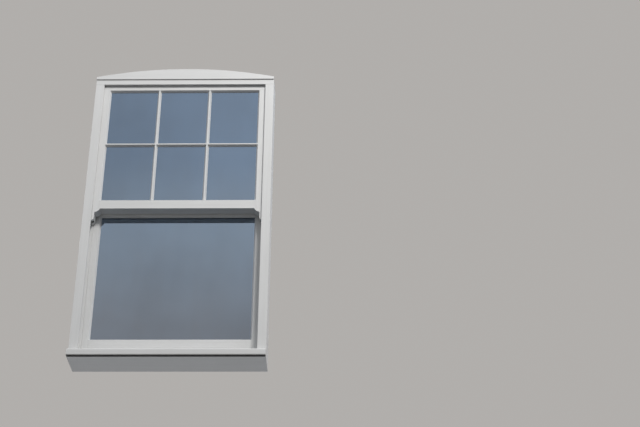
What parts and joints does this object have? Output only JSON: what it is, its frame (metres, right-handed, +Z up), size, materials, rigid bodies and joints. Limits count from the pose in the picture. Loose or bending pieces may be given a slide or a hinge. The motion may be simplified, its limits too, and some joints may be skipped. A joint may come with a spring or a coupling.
{
  "type": "sash window",
  "caption": "Vertically sliding timber sash window with a small-paned upper sash over a single-pane lower sash, horns, spiral balances and an arched board over its head.",
  "frame": {"origin": "middle of the sill's underside, below the face of the outer lining", "axes": "+X to the right seen from outside, +Y from the street into the room, +Z up"},
  "size_m": [0.86, 0.176, 1.538],
  "materials": {
    "frame_paint": "satin white paint",
    "sash_paint": "satin white paint",
    "putty": "painted putty",
    "glass": "clear float glass",
    "spacer": "dark warm-edge spacer",
    "balance_tube": "white enamel",
    "balance_steel": "zinc plated",
    "balance_nut": "nylon",
    "balance_foot": "nylon",
    "brass": "polished brass"
  },
  "bodies": {
    "frame": {"sill": "frame_paint", "head": "frame_paint", "left_jamb": "frame_paint", "right_jamb": "frame_paint", "left_outer_lining": "frame_paint", "right_outer_lining": "frame_paint", "head_outer_lining": "frame_paint", "arched_head_board": "frame_paint", "left_inner_lining": "frame_paint", "right_inner_lining": "frame_paint", "head_inner_lining": "frame_paint", "left_parting_bead": "frame_paint", "right_parting_bead": "frame_paint", "head_parting_bead": "frame_paint", "left_staff_bead": "frame_paint", "right_staff_bead": "frame_paint", "head_staff_bead": "frame_paint", "sill_staff_bead": "frame_paint", "upper_left_balance_tube": "balance_tube", "upper_right_balance_tube": "balance_tube", "lower_left_balance_tube": "balance_tube", "lower_right_balance_tube": "balance_tube", "balance_springs": "balance_steel", "balance_screws": "balance_steel"},
    "upper_sash": {"upper_left_stile": "sash_paint", "upper_right_stile": "sash_paint", "upper_top_rail": "sash_paint", "upper_meeting_rail": "sash_paint", "upper_left_glazing_bar": "sash_paint", "upper_right_glazing_bar": "sash_paint", "upper_cross_bars": "sash_paint", "upper_outer_panes": "glass", "upper_inner_panes": "glass", "upper_spacers": "spacer", "upper_putty": "putty", "upper_balance_rods": "balance_steel", "upper_balance_feet": "balance_foot", "fastener_keep": "brass"},
    "lower_sash": {"lower_left_stile": "sash_paint", "lower_right_stile": "sash_paint", "lower_meeting_rail": "sash_paint", "bottom_rail": "sash_paint", "lower_outer_pane": "glass", "lower_inner_pane": "glass", "lower_spacer": "spacer", "lower_putty": "putty", "lower_balance_rods": "balance_steel", "lower_balance_feet": "balance_foot", "fastener_base": "brass", "sash_lifts": "brass"},
    "fastener_arm": {"fastener_arm": "brass"},
    "upper_left_nut": {"upper_left_balance_nut": "balance_nut"},
    "upper_right_nut": {"upper_right_balance_nut": "balance_nut"},
    "lower_left_nut": {"lower_left_balance_nut": "balance_nut"},
    "lower_right_nut": {"lower_right_balance_nut": "balance_nut"}
  },
  "joints": [
    {"name": "lower_sash_slide", "type": "slide", "parent": "frame", "child": "lower_sash", "axis": [0, 0, 1], "range_m": [0, 0.57]},
    {"name": "upper_sash_slide", "type": "slide", "parent": "frame", "child": "upper_sash", "axis": [0, 0, -1], "range_m": [0, 0.57]},
    {"name": "fastener_turn", "type": "hinge", "parent": "lower_sash", "child": "fastener_arm", "pos_m": [0, 0.086, 0.8133], "axis": [0, 0, -1], "range_deg": [0, 90]},
    {"name": "upper_left_nut_turn", "type": "hinge", "parent": "frame", "child": "upper_left_nut", "pos_m": [-0.3937, 0.0365, 0.799], "axis": [0, 0, 1], "range_deg": [0, 857]},
    {"name": "upper_right_nut_turn", "type": "hinge", "parent": "frame", "child": "upper_right_nut", "pos_m": [0.3937, 0.0365, 0.799], "axis": [0, 0, 1], "range_deg": [0, 857]},
    {"name": "lower_left_nut_turn", "type": "hinge", "parent": "frame", "child": "lower_left_nut", "pos_m": [-0.3937, 0.0935, 0.665], "axis": [0, 0, 1], "range_deg": [-857, 0]},
    {"name": "lower_right_nut_turn", "type": "hinge", "parent": "frame", "child": "lower_right_nut", "pos_m": [0.3937, 0.0935, 0.665], "axis": [0, 0, 1], "range_deg": [-857, 0]}
  ],
  "couplings": [
    {"joint": "upper_left_nut_turn", "follows": "upper_sash_slide", "rad_per_m": 26.18},
    {"joint": "upper_right_nut_turn", "follows": "upper_sash_slide", "rad_per_m": 26.18},
    {"joint": "lower_left_nut_turn", "follows": "lower_sash_slide", "rad_per_m": -26.18},
    {"joint": "lower_right_nut_turn", "follows": "lower_sash_slide", "rad_per_m": -26.18}
  ]
}
